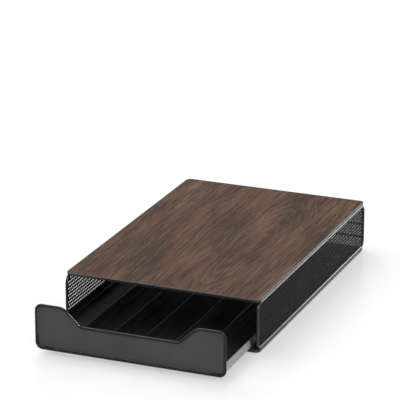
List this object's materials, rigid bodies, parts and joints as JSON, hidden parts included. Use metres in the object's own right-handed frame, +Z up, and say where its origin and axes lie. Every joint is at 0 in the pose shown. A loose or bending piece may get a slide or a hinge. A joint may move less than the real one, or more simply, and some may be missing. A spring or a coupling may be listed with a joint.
{
  "type": "coffee capsule drawer",
  "caption": "Low steel cabinet with expanded-metal sides and a wood top for a coffee machine, over a sliding drawer with divided lanes for capsules.",
  "frame": {"origin": "middle of the footprint on the worktop, with the drawer open as at rest", "axes": "+X to the right seen from the front, +Y to the back, +Z up; the drawer pulls out along -Y"},
  "size_m": [0.271, 0.525, 0.0735],
  "materials": {
    "walnut_board": "dark walnut grain, matt",
    "front_sheet": "charcoal powder coat, satin",
    "expanded_metal": "black powder coat on expanded metal",
    "nylon": "black nylon",
    "rubber": "matt black",
    "rod_black": "black powder coat, satin",
    "runner_black": "black coat",
    "tray_black": "black powder coat, satin",
    "sheet_black": "black powder coat, satin"
  },
  "bodies": {
    "cabinet": {"base_pan": "sheet_black", "top_pan": "sheet_black", "top_board": "walnut_board", "side_frame_left": "rod_black", "side_frame_right": "rod_black", "side_mesh_left": "expanded_metal", "side_mesh_right": "expanded_metal", "back_rod_upper": "rod_black", "back_rod_lower": "rod_black", "runner_left": "runner_black", "runner_right": "runner_black", "runner_shoe_left": "nylon", "runner_shoe_right": "nylon", "runner_rivets": "runner_black", "foot_front_left": "rubber", "foot_front_right": "rubber", "foot_rear_left": "rubber", "foot_rear_right": "rubber"},
    "drawer": {"drawer_tray": "tray_black", "drawer_front_frame": "rod_black", "drawer_front_panel": "front_sheet", "lane_divider_1": "tray_black", "lane_divider_2": "tray_black", "lane_divider_3": "tray_black", "lane_divider_4": "tray_black", "lane_divider_5": "tray_black", "glide_left": "runner_black", "glide_right": "runner_black", "glide_shoe_left": "nylon", "glide_shoe_right": "nylon"}
  },
  "joints": [
    {"name": "drawer_slide", "type": "slide", "parent": "cabinet", "child": "drawer", "axis": [0, -1, 0], "range_m": [-0.101, 0.2196]}
  ]
}
